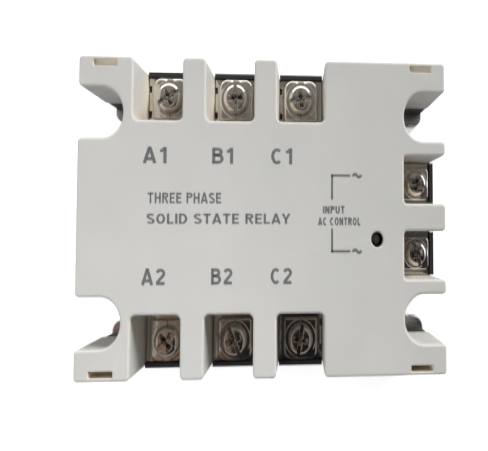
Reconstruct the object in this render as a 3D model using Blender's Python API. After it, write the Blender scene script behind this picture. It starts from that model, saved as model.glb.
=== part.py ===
"""Three-phase solid state relay, built the way the real one comes apart on a bench.

An aluminium plate carries a black terminal frame, and a cream cover closes it. Six power terminals stand
in two rows and two input terminals stand at the right end. Each has a lug, a captive square nut, a clamp
plate and a screw. Inside are a ceramic substrate with six thyristor dies under potting, and a circuit
board with the drive circuit and the status light.

Frame: +Z out of the cover's face, +X along the length towards the input terminals, +Y towards terminals
a1, b1 and c1. The origin is the centre of the mounting face. Lengths are in millimetres, and mesh_of()
turns them into metres.
"""

import math

import bmesh
import bpy
from mathutils import Matrix, Vector

MM = 0.001

# Overall size
LENGTH = 105.0
WIDTH = 74.0
HEIGHT = 33.0
HALF_L = LENGTH / 2
HALF_W = WIDTH / 2

# Levels above the mounting face
PLATE_T = 3.0
FRAME_Z0 = PLATE_T + 0.1
PARTING_Z = 13.2
FRAME_Z1 = PARTING_Z - 0.15
SEAT_Z = 16.6
BOARD_Z = 20.0
POTTING_Z = 8.5

# Case
EDGE_R = 1.0
TOP_FILLET = 0.8
WALL = 1.8
ROOF = 2.0
REST_GAP = 0.05

# Corner notches that clear the mounting screws' heads, and the plate's slots below them
NOTCH_Y = 24.15
NOTCH_HALF = 6.0
NOTCH_DEPTH = 12.3
SLOT_HALF = 2.6
SLOT_DEPTH = 7.1
SLOT_MOUTH_R = 3.0

# Power bays, open to the long sides
PHASE_X = {"a": -30.6, "b": -10.3, "c": 10.0}
BAY_HALF = 6.85
BAY_DEPTH = 14.7
POWER_SCREW_INSET = 6.8

# Input bays, open to the right end
INPUT_Y = 8.95
INPUT_HALF = 5.7
INPUT_DEPTH = 12.4
INPUT_SCREW_INSET = 5.9

# Blocks of the frame that fill the bays under the lugs
BLOCK_CLEARANCE = 0.15
LIP_WIDTH = 1.2
LIP_RISE = 1.6
BLOCK_SETBACK = 0.05

# Latch slots for a clip-on guard, and the window over the status light
LATCH_X = 45.2
LATCH_Y = 35.4
LATCH_LENGTH = 6.4
LATCH_WIDTH = 1.4
LATCH_DEPTH = 6.0
LED_X = 32.2
LED_Y = -5.2
LED_HOLE_R = 1.7

# The well in the frame that holds the power parts: wide part, then the narrow left end between notches
WELL_X0 = -38.3
WELL_X1 = 38.1
WELL_Y = 20.5
WELL_END_X = -50.5
WELL_END_Y = 15.8

# Ribs of the frame that stand inside the cover's skirt, and its pillars under the circuit board
RIB_T = 1.0
RIB_RISE = 2.4
RIB_CLEARANCE = 0.15
END_RIB_HALF = 13.0
SIDE_RIB_X = (20.0, 38.0)
PILLAR_X = (-20.45, 19.5)
PILLAR_HALF = 1.3
PILLAR_Y = (18.4, 20.2)
PILLAR_FOOT_Y = (18.2, 21.5)

# Power stage on the plate, each size as length, width, height
SUBSTRATE_SIZE = (57.0, 28.0, 1.0)
DIE_SIZE = (8.0, 8.0, 0.5)
DIE_Y = 5.5

# Circuit board and what stands on it
BOARD_X = 37.8
BOARD_Y = 20.0
BOARD_T = 1.6
OPTOCOUPLER_SIZE = (6.4, 8.6, 3.5)
CAPACITOR_SIZE = (13.0, 5.0, 8.6)
CAPACITOR_Y = 12.0
RECTIFIER_SIZE = (6.5, 6.5, 3.0)
RECTIFIER_PLACE = (30.0, 8.0)

# Status light: its lead housing, flange and domed lens
LED_R = 1.5
LED_FLANGE_R = 1.9
LED_FOOT_R = 0.9
LED_FOOT_H = 1.6
LED_FLANGE_H = 1.0
LED_BODY_H = 3.8

# Sheet metal of the lugs
LUG_T = 0.8
FOOT_Z0 = 4.2
FOOT_REACH = 6.1
LUG_NOTCH = 0.8
LUG_NOTCH_HALF = 0.85
LUG_NOTCH_Y = (2.5, -3.95)

POWER = {
    "lug_half": 6.65,
    "lug_outer": 5.3,
    "lug_inner": -13.4,
    "lug_hole": 2.25,
    "clamp_half": 5.3,
    "clamp_t": 1.0,
    "clamp_outer_r": 2.8,
    "head_r": 3.8,
    "head_h": 2.4,
    "shank_r": 1.9,
    "shank_end": -7.2,
    "nut_half": 3.5,
    "nut_t": 3.2,
}
INPUT = {
    "lug_half": 5.5,
    "lug_outer": 4.3,
    "lug_inner": -10.0,
    "lug_hole": 1.95,
    "clamp_half": 4.2,
    "clamp_t": 0.9,
    "clamp_outer_r": 1.2,
    "head_r": 3.2,
    "head_h": 2.0,
    "shank_r": 1.6,
    "shank_end": -7.0,
    "nut_half": 2.9,
    "nut_t": 2.8,
}
BORE_CLEARANCE = 0.25
NUT_DROP = 0.4
POCKET_CLEARANCE = 0.25
FRAME_BORE_CLEARANCE = 0.5

# Small chamfers and rounds of the hardware, and the screws' drive recesses
BEVEL = 0.3
CORNER_R = 0.4
CLAMP_INNER_R = 0.8
BEND_OUTER_R = 1.2
BEND_INNER_R = 0.4
SHANK_TIP = 0.5
HEAD_ROUND = 1.1
DRIVE_SLOT_HALF = 0.55
DRIVE_SLOT_DEPTH = 0.95
CROSS_HALF = 0.5
CROSS_REACH = 0.62
CROSS_DEPTH = 1.9
CROSS_FLOOR_SCALE = 0.45
CROSS_MOUTH_SCALE = 1.2

# Angle that each screw's slot has come to rest at, in degrees
SCREW_ANGLES = {"a1": 28, "b1": 92, "c1": 8, "a2": 40, "b2": 115, "c2": 80, "1": 70, "2": 20}

ROUND = 24
SMALL_ARC = 2
LARGE_ARC = 7
LARGE_R = 2.0

# (u, v, w) of a prism to (x, y, z): a side profile drawn in y and z, extruded along x
SIDE_PROFILE = Matrix(((0, 0, 1, 0), (1, 0, 0, 0), (0, 1, 0, 0), (0, 0, 0, 1)))


def clear_scene():
    """Starts from an empty scene."""
    for obj in list(bpy.data.objects):
        bpy.data.objects.remove(obj, do_unlink=True)


# ---------------------------------------------------------------- materials


def material(name, colour, roughness, metallic=0.0):
    """A Principled BSDF of one colour."""
    mat = bpy.data.materials.new(name)
    mat.use_nodes = True
    shader = mat.node_tree.nodes["Principled BSDF"]
    shader.inputs["Base Color"].default_value = (*colour, 1.0)
    shader.inputs["Roughness"].default_value = roughness
    shader.inputs["Metallic"].default_value = metallic
    return mat


def all_materials():
    """Every finish on the relay, by name."""
    return {
        "cover": material("cover_plastic", (0.62, 0.62, 0.58), 0.45),
        "frame": material("frame_plastic", (0.03, 0.03, 0.033), 0.5),
        "plate": material("plate_aluminium", (0.72, 0.72, 0.73), 0.35, 1.0),
        "lug": material("tinned_lug", (0.66, 0.65, 0.62), 0.3, 1.0),
        "steel": material("nickel_steel", (0.6, 0.58, 0.54), 0.25, 1.0),
        "board": material("board_laminate", (0.05, 0.2, 0.08), 0.5),
        "ceramic": material("alumina", (0.85, 0.84, 0.8), 0.5),
        "silicon": material("silicon", (0.12, 0.12, 0.15), 0.25, 0.6),
        "potting": material("potting", (0.05, 0.05, 0.05), 0.4),
        "chip": material("chip_epoxy", (0.02, 0.02, 0.02), 0.45),
        "film": material("film_capacitor", (0.75, 0.55, 0.08), 0.4),
        "lens": material("led_lens", (0.08, 0.08, 0.08), 0.15),
    }


# ---------------------------------------------------------------- outlines


def outline(corners, inset=0.0):
    """Points round counter-clockwise corners (x, y, radius), each an arc, all moved inwards by inset."""
    points = []
    for i, (x, y, radius) in enumerate(corners):
        here = Vector((x, y))
        before = Vector(corners[i - 1][:2])
        after = Vector(corners[(i + 1) % len(corners)][:2])
        entry = (here - before).normalized()
        leave = (after - here).normalized()
        entry_normal = Vector((-entry.y, entry.x))
        leave_normal = Vector((-leave.y, leave.x))
        mid = (entry_normal + leave_normal) / (1 + entry_normal.dot(leave_normal))
        if radius == 0:
            points.append(here + mid * inset)
            continue
        turn = math.atan2(entry.x * leave.y - entry.y * leave.x, entry.dot(leave))
        side = 1 if turn > 0 else -1
        centre = here + mid * side * radius
        spoke = -entry_normal * side * (radius - side * inset)
        steps = LARGE_ARC if radius > LARGE_R else SMALL_ARC
        for step in range(steps + 1):
            points.append(centre + Matrix.Rotation(turn * step / steps, 2) @ spoke)
    return points


def rectangle(x0, y0, x1, y1, radius=0.0):
    """Corners of a rectangle, counter-clockwise."""
    return [(x0, y0, radius), (x1, y0, radius), (x1, y1, radius), (x0, y1, radius)]


def pocket(start, end, depth, floor_r, mouth_r=EDGE_R):
    """Four corners of a pocket let into an outline between two points of a counter-clockwise edge."""
    start, end = Vector(start), Vector(end)
    along = (end - start).normalized()
    inward = Vector((-along.y, along.x)) * depth
    return [
        (*start, mouth_r),
        (*(start + inward), floor_r),
        (*(end + inward), floor_r),
        (*end, mouth_r),
    ]


def notch(side, y):
    """Screw-head notch in the end edge on one side, -1 left or 1 right, centred on y."""
    return pocket(
        (side * HALF_L, y - side * NOTCH_HALF),
        (side * HALF_L, y + side * NOTCH_HALF),
        NOTCH_DEPTH,
        NOTCH_HALF - 0.1,
    )


def mounting_slot(side, y):
    """U slot of the plate, with a flared mouth."""
    return pocket(
        (side * HALF_L, y - side * SLOT_HALF),
        (side * HALF_L, y + side * SLOT_HALF),
        SLOT_DEPTH,
        SLOT_HALF - 0.05,
        SLOT_MOUTH_R,
    )


def input_bay(y):
    """Input terminal's bay in the right end edge."""
    return pocket((HALF_L, y - INPUT_HALF), (HALF_L, y + INPUT_HALF), INPUT_DEPTH, EDGE_R)


def power_bay(side, x):
    """Power terminal's bay in a long edge, side -1 or 1."""
    return pocket(
        (x + side * BAY_HALF, side * HALF_W),
        (x - side * BAY_HALF, side * HALF_W),
        BAY_DEPTH,
        EDGE_R,
    )


def case_corners(end_pocket, with_bays):
    """Corners of the relay's plan: end_pocket(side, y) makes each corner cut-out."""
    corners = [(HALF_L, -HALF_W, EDGE_R)]
    corners += end_pocket(1, -NOTCH_Y)
    if with_bays:
        corners += input_bay(-INPUT_Y) + input_bay(INPUT_Y)
    corners += end_pocket(1, NOTCH_Y)
    corners += [(HALF_L, HALF_W, EDGE_R)]
    if with_bays:
        for x in reversed(PHASE_X.values()):
            corners += power_bay(1, x)
    corners += [(-HALF_L, HALF_W, EDGE_R)]
    corners += end_pocket(-1, NOTCH_Y) + end_pocket(-1, -NOTCH_Y)
    corners += [(-HALF_L, -HALF_W, EDGE_R)]
    if with_bays:
        for x in PHASE_X.values():
            corners += power_bay(-1, x)
    return corners


# ---------------------------------------------------------------- solids


def add_loft(bm, rings):
    """Closed solid through rings of equal length, lowest first, each ring counter-clockwise."""
    rows = [[bm.verts.new(point) for point in ring] for ring in rings]
    bm.faces.new(reversed(rows[0]))
    bm.faces.new(rows[-1])
    count = len(rows[0])
    for low, high in zip(rows, rows[1:]):
        for i in range(count):
            j = (i + 1) % count
            bm.faces.new((low[i], low[j], high[j], high[i]))


def add_prism(bm, points, z0, z1, matrix=None):
    """Upright prism over a counter-clockwise outline."""
    matrix = matrix or Matrix()
    add_loft(bm, [[matrix @ Vector((x, y, z)) for x, y in points] for z in (z0, z1)])


def add_box(bm, x0, x1, y0, y1, z0, z1, matrix=None):
    """Box between two corners."""
    add_prism(bm, outline(rectangle(x0, y0, x1, y1)), z0, z1, matrix)


def circle(radius, count=ROUND):
    """Counter-clockwise points round the origin."""
    return [
        Vector((radius * math.cos(math.tau * i / count), radius * math.sin(math.tau * i / count)))
        for i in range(count)
    ]


def add_turned(bm, profile, matrix=None):
    """Solid of revolution about z from (radius, height) points, lowest first."""
    matrix = matrix or Matrix()
    add_loft(bm, [[matrix @ Vector((x, y, z)) for x, y in circle(r)] for r, z in profile])


def mesh_of(name, bm, angle=30):
    """Mesh in metres from a bmesh in millimetres, smooth where faces meet at less than angle."""
    bmesh.ops.scale(bm, vec=(MM, MM, MM), verts=bm.verts)
    bmesh.ops.recalc_face_normals(bm, faces=bm.faces)
    mesh = bpy.data.meshes.new(name)
    bm.to_mesh(mesh)
    bm.free()
    mesh.shade_smooth()
    mesh.set_sharp_from_angle(angle=math.radians(angle))
    return mesh


def link(name, mesh, mat=None, parent=None, location=(0, 0, 0), turn=0.0):
    """Puts a mesh in the scene as a named object."""
    if mat and not mesh.materials:
        mesh.materials.append(mat)
    obj = bpy.data.objects.new(name, mesh)
    obj.location = Vector(location) * MM
    obj.rotation_euler.z = math.radians(turn)
    obj.parent = parent
    bpy.context.scene.collection.objects.link(obj)
    return obj


def tool(name, bm):
    """Helper solid for a Boolean. It isn't a piece of the relay."""
    obj = link(name, mesh_of(name, bm))
    obj.hide_render = True
    obj.display_type = "WIRE"
    return obj


def apply_tool(obj, helper, operation="DIFFERENCE"):
    """Cuts helper from obj, or joins it on."""
    modifier = obj.modifiers.new(helper.name, "BOOLEAN")
    modifier.operation = operation
    modifier.solver = "EXACT"
    modifier.object = helper


def finished(name, bm, *cutters):
    """Mesh of a repeated piece after its cuts, ready to be shared by several objects."""
    source = link(name + "_blank", mesh_of(name, bm))
    helpers = [tool(f"{name}_cut_{i}", cutter) for i, cutter in enumerate(cutters)]
    for helper in helpers:
        apply_tool(source, helper)
    graph = bpy.context.evaluated_depsgraph_get()
    mesh = bpy.data.meshes.new_from_object(source.evaluated_get(graph))
    mesh.name = name
    for obj in [source, *helpers]:
        bpy.data.objects.remove(obj)
    return mesh


# ---------------------------------------------------------------- terminals


def terminal_places():
    """Each terminal's name, kind and frame: origin on the screw's axis at the seat, +y out of the bay."""
    places = {}
    for number, side in (("1", 1), ("2", -1)):
        for phase, x in PHASE_X.items():
            spot = Matrix.Translation((x, side * (HALF_W - POWER_SCREW_INSET), SEAT_Z))
            turn = Matrix.Rotation(0 if side > 0 else math.pi, 4, "Z")
            places[phase + number] = (POWER, spot @ turn)
    for number, y in (("1", INPUT_Y), ("2", -INPUT_Y)):
        spot = Matrix.Translation((HALF_L - INPUT_SCREW_INSET, y, SEAT_Z))
        places[number] = (INPUT, spot @ Matrix.Rotation(-math.pi / 2, 4, "Z"))
    return places


def clamp_z0():
    """Underside of a clamp plate above the seat."""
    return REST_GAP + LUG_T + REST_GAP


def head_z0(size):
    """Underside of a screw head above the seat."""
    return clamp_z0() + size["clamp_t"] + REST_GAP


def lug_mesh(name, size):
    """Sheet lug: a tab under the clamp, then a leg, down to the substrate or up to the circuit board.

    A power lug has two notches in one edge.
    """
    top, under = REST_GAP + LUG_T, REST_GAP
    outer, inner = size["lug_outer"], size["lug_inner"]
    if size is POWER:
        foot = FOOT_Z0 - SEAT_Z
        profile = [
            (outer, under, 0), (outer, top, 0), (inner, top, BEND_OUTER_R),
            (inner, foot + LUG_T, BEND_INNER_R), (inner - FOOT_REACH + LUG_T, foot + LUG_T, 0),
            (inner - FOOT_REACH + LUG_T, foot, 0), (inner + LUG_T, foot, BEND_OUTER_R),
            (inner + LUG_T, under, BEND_INNER_R),
        ]
    else:
        rise = BOARD_Z - 2 * REST_GAP - SEAT_Z
        profile = [
            (outer, under, 0), (outer, top, 0), (inner + LUG_T, top, BEND_INNER_R),
            (inner + LUG_T, rise, 0), (inner, rise, 0), (inner, under, BEND_OUTER_R),
        ]
    half = size["lug_half"]
    bm = bmesh.new()
    add_prism(bm, outline(profile), -half, half, SIDE_PROFILE)
    cuts = bmesh.new()
    add_prism(cuts, circle(size["lug_hole"]), -1, LUG_T + 1)
    for y in LUG_NOTCH_Y if size is POWER else ():
        y0, y1 = y - LUG_NOTCH_HALF, y + LUG_NOTCH_HALF
        add_box(cuts, -half - 1, -half + LUG_NOTCH, y0, y1, -1, LUG_T + 1)
    return finished(name, bm, cuts)


def nut_mesh(name, size):
    """Square nut, chamfered on top."""
    half = size["nut_half"]
    corners = rectangle(-half, -half, half, half, CORNER_R)
    top = -NUT_DROP
    bm = bmesh.new()
    levels = ((0.0, top - size["nut_t"]), (0.0, top - BEVEL), (BEVEL, top))
    add_loft(bm, [[Vector((x, y, z)) for x, y in outline(corners, inset)] for inset, z in levels])
    bore = bmesh.new()
    add_prism(bore, circle(size["shank_r"] + BORE_CLEARANCE), top - size["nut_t"] - 1, top + 1)
    return finished(name, bm, bore)


def clamp_mesh(name, size):
    """Square clamp plate with its two outer corners well rounded."""
    half, outer_r = size["clamp_half"], size["clamp_outer_r"]
    corners = [
        (-half, -half, CLAMP_INNER_R), (half, -half, CLAMP_INNER_R),
        (half, half, outer_r), (-half, half, outer_r),
    ]
    z0 = clamp_z0()
    z1 = z0 + size["clamp_t"]
    bm = bmesh.new()
    levels = ((0.0, z0), (0.0, z1 - BEVEL), (BEVEL, z1))
    add_loft(bm, [[Vector((x, y, z)) for x, y in outline(corners, inset)] for inset, z in levels])
    bore = bmesh.new()
    add_prism(bore, circle(size["shank_r"] + BORE_CLEARANCE), z0 - 1, z1 + 1)
    return finished(name, bm, bore)


def screw_mesh(name, size):
    """Pan-head screw with a slot and a cross recess."""
    r, z0 = size["head_r"], head_z0(size)
    z1 = z0 + size["head_h"]
    shank, end = size["shank_r"], size["shank_end"]
    bm = bmesh.new()
    round_z = z1 - HEAD_ROUND
    profile = [(shank - SHANK_TIP, end), (shank, end + SHANK_TIP), (shank, z0), (r, z0), (r, round_z)]
    for angle in (40, 90):
        bend = math.radians(angle)
        profile.append((r - HEAD_ROUND * (1 - math.cos(bend)), round_z + HEAD_ROUND * math.sin(bend)))
    add_turned(bm, profile)
    slot = bmesh.new()
    add_box(slot, -r - 1, r + 1, -DRIVE_SLOT_HALF, DRIVE_SLOT_HALF, z1 - DRIVE_SLOT_DEPTH, z1 + 1)
    cross = bmesh.new()
    arm, half = CROSS_REACH * r, CROSS_HALF
    plus = [
        (half, -arm), (half, -half), (arm, -half), (arm, half), (half, half), (half, arm),
        (-half, arm), (-half, half), (-arm, half), (-arm, -half), (-half, -half), (-half, -arm),
    ]
    add_loft(cross, [
        [Vector((x * scale, y * scale, z)) for x, y in plus]
        for scale, z in ((CROSS_FLOOR_SCALE, z1 - CROSS_DEPTH), (CROSS_MOUTH_SCALE, z1 + 0.5))
    ])
    return finished(name, bm, slot, cross)


def build_terminals(places, finish):
    """Lug, nut, clamp plate and screw at each of the eight terminals."""
    makers = {"lug": lug_mesh, "nut": nut_mesh, "clamp": clamp_mesh, "screw": screw_mesh}
    meshes = {
        kind: {piece: make(f"{kind}_{piece}", size) for piece, make in makers.items()}
        for kind, size in (("power", POWER), ("input", INPUT))
    }
    for place, (size, matrix) in places.items():
        kind = "power" if size is POWER else "input"
        axis = bpy.data.objects.new(f"terminal_{place}", None)
        axis.location = matrix.translation * MM
        axis.rotation_euler = matrix.to_euler()
        bpy.context.scene.collection.objects.link(axis)
        for piece, mesh in meshes[kind].items():
            mat = finish["lug"] if piece == "lug" else finish["steel"]
            turn = SCREW_ANGLES[place] if piece == "screw" else 0.0
            link(f"{kind}_{piece}_{place}", mesh, mat, axis, turn=turn)


# ---------------------------------------------------------------- case


def build_base_plate(finish):
    """Aluminium plate that sits on the heat sink, with four mounting slots."""
    corners = case_corners(mounting_slot, with_bays=False)
    bm = bmesh.new()
    levels = ((0.0, 0.0), (0.0, PLATE_T - BEVEL), (BEVEL, PLATE_T))
    add_loft(bm, [[Vector((x, y, z)) for x, y in outline(corners, inset)] for inset, z in levels])
    link("base_plate", mesh_of("base_plate", bm), finish["plate"])


def bay_span(size):
    """Half width of a bay and how far it runs out of and in from the screw's axis."""
    if size is POWER:
        return BAY_HALF, POWER_SCREW_INSET, POWER_SCREW_INSET - BAY_DEPTH
    return INPUT_HALF, INPUT_SCREW_INSET, INPUT_SCREW_INSET - INPUT_DEPTH


def build_terminal_frame(places, finish):
    """Black frame: a wall round a well, with a block under every lug."""
    bm = bmesh.new()
    add_prism(bm, outline(case_corners(notch, with_bays=False)), FRAME_Z0, FRAME_Z1)
    frame = link("terminal_frame", mesh_of("terminal_frame", bm), finish["frame"])

    blocks, seats = bmesh.new(), bmesh.new()
    for size, matrix in places.values():
        half, outer, inner = bay_span(size)
        half -= BLOCK_CLEARANCE
        outer -= BLOCK_SETBACK
        inner += BLOCK_CLEARANCE
        corners = [(-half, inner, EDGE_R), (half, inner, EDGE_R), (half, outer, 0), (-half, outer, 0)]
        add_prism(blocks, outline(corners), FRAME_Z1 - 2 - SEAT_Z, LIP_RISE, matrix)
        add_box(seats, -half - 1, half + 1, inner - 1, outer - LIP_WIDTH, 0, LIP_RISE + 1, matrix)
    rib_z = (FRAME_Z1 - 2, FRAME_Z1 + RIB_RISE)
    rib_out = WALL + RIB_CLEARANCE
    end_x = -HALF_L + rib_out
    add_box(blocks, end_x, end_x + RIB_T, -END_RIB_HALF, END_RIB_HALF, *rib_z)
    for side in (-1, 1):
        y0, y1 = sorted((side * (HALF_W - rib_out), side * (HALF_W - rib_out - RIB_T)))
        add_box(blocks, *SIDE_RIB_X, y0, y1, *rib_z)
    apply_tool(frame, tool("frame_blocks", blocks), "UNION")
    apply_tool(frame, tool("frame_seats", seats))

    well = bmesh.new()
    corners = [
        (WELL_END_X, -WELL_END_Y, EDGE_R), (WELL_X0, -WELL_END_Y, EDGE_R), (WELL_X0, -WELL_Y, EDGE_R),
        (WELL_X1, -WELL_Y, EDGE_R), (WELL_X1, WELL_Y, EDGE_R), (WELL_X0, WELL_Y, EDGE_R),
        (WELL_X0, WELL_END_Y, EDGE_R), (WELL_END_X, WELL_END_Y, EDGE_R),
    ]
    add_prism(well, outline(corners), FRAME_Z0 - 1, FRAME_Z1 + 1)
    apply_tool(frame, tool("frame_well", well))

    pillars, feet = bmesh.new(), bmesh.new()
    for x in PILLAR_X:
        x0, x1 = x - PILLAR_HALF, x + PILLAR_HALF
        for side in (-1, 1):
            y0, y1 = sorted(side * y for y in PILLAR_Y)
            add_box(pillars, x0, x1, y0, y1, FRAME_Z0 + 1, BOARD_Z - REST_GAP)
            y0, y1 = sorted(side * y for y in PILLAR_FOOT_Y)
            add_box(feet, x0 - 0.2, x1 + 0.2, y0, y1, FRAME_Z0 + 0.5, FRAME_Z1 - 0.5)
    apply_tool(frame, tool("frame_pillar_feet", feet), "UNION")
    apply_tool(frame, tool("frame_pillars", pillars), "UNION")

    pockets, bores = bmesh.new(), bmesh.new()
    for size, matrix in places.values():
        half = size["nut_half"] + POCKET_CLEARANCE
        floor = -NUT_DROP - size["nut_t"] - REST_GAP
        add_box(pockets, -half, half, -half, half, floor, 1, matrix)
        bore = circle(size["shank_r"] + FRAME_BORE_CLEARANCE)
        add_prism(bores, bore, size["shank_end"] - 1, floor + 0.5, matrix)
    apply_tool(frame, tool("frame_nut_pockets", pockets))
    apply_tool(frame, tool("frame_screw_bores", bores))


def grown(corners):
    """A pocket's four corners moved out by the wall's thickness, and closed beyond the case's edge."""
    mouth_a, floor_a, floor_b, mouth_b = [Vector(corner[:2]) for corner in corners]
    along = (floor_b - floor_a).normalized() * WALL
    inward = (floor_a - mouth_a).normalized() * WALL
    radius = corners[1][2] + WALL
    return [
        (*(mouth_a - along - inward), 0), (*(mouth_b + along - inward), 0),
        (*(floor_b + along + inward), radius), (*(floor_a - along + inward), radius),
    ][::-1]


def latch_places():
    """Centres of the four latch slots."""
    return [(x, y) for x in (-LATCH_X, LATCH_X) for y in (-LATCH_Y, LATCH_Y)]


def build_cover(places, finish):
    """Cream cover: a shell with eight terminal bays, four corner notches and a rounded top edge."""
    corners = case_corners(notch, with_bays=True)
    levels = [(0.0, PARTING_Z), (0.0, HEIGHT - TOP_FILLET)]
    for angle in (45, 90):
        bend = math.radians(angle)
        levels.append((TOP_FILLET * (1 - math.cos(bend)), HEIGHT - TOP_FILLET * (1 - math.sin(bend))))
    bm = bmesh.new()
    add_loft(bm, [[Vector((x, y, z)) for x, y in outline(corners, inset)] for inset, z in levels])
    cover = link("top_cover", mesh_of("top_cover", bm), finish["cover"])

    # Hollow: the inside of a plain box, less the walls that stand round the notches and the bays
    hollow_bm = bmesh.new()
    inside = rectangle(-HALF_L + WALL, -HALF_W + WALL, HALF_L - WALL, HALF_W - WALL)
    add_prism(hollow_bm, outline(inside), PARTING_Z - 1, HEIGHT - ROOF)
    hollow = tool("cover_hollow", hollow_bm)
    span = (PARTING_Z - 2, HEIGHT)
    notch_walls = bmesh.new()
    for side in (-1, 1):
        for y in (-NOTCH_Y, NOTCH_Y):
            add_prism(notch_walls, outline(grown(notch(side, y))), *span)
    apply_tool(hollow, tool("cover_notch_walls", notch_walls))
    bay_walls = bmesh.new()
    for size, matrix in places.values():
        half, outer, inner = bay_span(size)
        wall = rectangle(-half - WALL, inner - WALL, half + WALL, outer + 1)
        add_prism(bay_walls, outline(wall), span[0] - SEAT_Z, span[1] - SEAT_Z, matrix)
    apply_tool(hollow, tool("cover_bay_walls", bay_walls))
    latch_walls = bmesh.new()
    for x, y in latch_places():
        half_x, half_y = LATCH_LENGTH / 2 + WALL, LATCH_WIDTH / 2 + WALL
        low = HEIGHT - LATCH_DEPTH - ROOF
        add_box(latch_walls, x - half_x, x + half_x, y - half_y, y + half_y, low, HEIGHT)
    apply_tool(hollow, tool("cover_latch_walls", latch_walls))
    apply_tool(cover, hollow)

    openings = bmesh.new()
    for x, y in latch_places():
        half_x, half_y = LATCH_LENGTH / 2, LATCH_WIDTH / 2
        add_box(openings, x - half_x, x + half_x, y - half_y, y + half_y, HEIGHT - LATCH_DEPTH, HEIGHT + 1)
    window = Matrix.Translation((LED_X, LED_Y, 0))
    add_turned(openings, [
        (LED_HOLE_R, HEIGHT - ROOF - 1), (LED_HOLE_R, HEIGHT - BEVEL), (LED_HOLE_R + BEVEL, HEIGHT),
        (LED_HOLE_R + BEVEL, HEIGHT + 1),
    ], window)
    # Windows low in the bays' inner walls, where the lugs run inside
    for size, matrix in places.values():
        _, _, inner = bay_span(size)
        half = size["lug_half"] + BLOCK_CLEARANCE
        low, high = PARTING_Z - 1 - SEAT_Z, LUG_T + 0.4
        add_box(openings, -half, half, inner - WALL - 0.5, inner + 0.5, low, high, matrix)
    apply_tool(cover, tool("cover_openings", openings))


# ---------------------------------------------------------------- inside


def build_box_piece(name, mat, x, y, z0, size, radius=0.25):
    """Rounded box standing on z0, its centre at x, y."""
    length, width, height = size
    bevel = radius / 2
    corners = rectangle(-length / 2, -width / 2, length / 2, width / 2, radius)
    bm = bmesh.new()
    levels = ((0.0, 0.0), (0.0, height - bevel), (bevel, height))
    add_loft(bm, [[Vector((px, py, z)) for px, py in outline(corners, inset)] for inset, z in levels])
    link(name, mesh_of(name, bm), mat, location=(x, y, z0))


def build_power_stage(finish):
    """Ceramic substrate on the plate, with a pair of thyristor dies for each phase, under potting."""
    base = PLATE_T + REST_GAP
    build_box_piece("ceramic_substrate", finish["ceramic"], PHASE_X["b"], 0, base, SUBSTRATE_SIZE)
    die_z = base + SUBSTRATE_SIZE[2] + REST_GAP
    for phase, x in PHASE_X.items():
        for number, y in (("1", DIE_Y), ("2", -DIE_Y)):
            build_box_piece(f"thyristor_{phase}{number}", finish["silicon"], x, y, die_z, DIE_SIZE)

    bm = bmesh.new()
    corners = rectangle(WELL_X0 + 0.2, -WELL_END_Y, WELL_X1 - 0.2, WELL_END_Y, EDGE_R)
    add_prism(bm, outline(corners), FOOT_Z0 + LUG_T + 0.1, POTTING_Z)
    link("potting_compound", mesh_of("potting_compound", bm), finish["potting"])


def build_circuit_board(finish):
    """Board with its optocouplers, snubber capacitors, input rectifier and status light."""
    bm = bmesh.new()
    corners = rectangle(-BOARD_X, -BOARD_Y, BOARD_X, BOARD_Y, EDGE_R)
    add_prism(bm, outline(corners), BOARD_Z, BOARD_Z + BOARD_T)
    link("circuit_board", mesh_of("circuit_board", bm), finish["board"])
    top = BOARD_Z + BOARD_T + REST_GAP
    for phase, x in PHASE_X.items():
        build_box_piece(f"optocoupler_{phase}", finish["chip"], x, 0, top, OPTOCOUPLER_SIZE)
        build_box_piece(f"snubber_capacitor_{phase}", finish["film"], x, CAPACITOR_Y, top, CAPACITOR_SIZE)
    build_box_piece("input_rectifier", finish["chip"], *RECTIFIER_PLACE, top, RECTIFIER_SIZE)

    flange_z = LED_FOOT_H + LED_FLANGE_H
    dome_z = flange_z + LED_BODY_H
    profile = [
        (LED_FOOT_R, 0), (LED_FOOT_R, LED_FOOT_H), (LED_FLANGE_R, LED_FOOT_H),
        (LED_FLANGE_R, flange_z), (LED_R, flange_z), (LED_R, dome_z),
    ]
    for angle in (40, 80):
        bend = math.radians(angle)
        profile.append((LED_R * math.cos(bend), dome_z + LED_R * math.sin(bend)))
    led = bmesh.new()
    add_turned(led, profile)
    link("status_led", mesh_of("status_led", led), finish["lens"], location=(LED_X, LED_Y, top))


def main():
    clear_scene()
    finish = all_materials()
    places = terminal_places()
    build_base_plate(finish)
    build_terminal_frame(places, finish)
    build_cover(places, finish)
    build_terminals(places, finish)
    build_power_stage(finish)
    build_circuit_board(finish)


main()
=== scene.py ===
"""Looks of the three-phase solid state relay: finer pieces over the CAD frame, materials, light and camera.

Shapes are drawn in millimetres and turned into metres when their meshes are made. Places come from the
CAD nodes' boxes, so each fine piece stands exactly where its node does.
"""

import math

import bmesh
import bpy
from mathutils import Matrix, Vector


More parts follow.
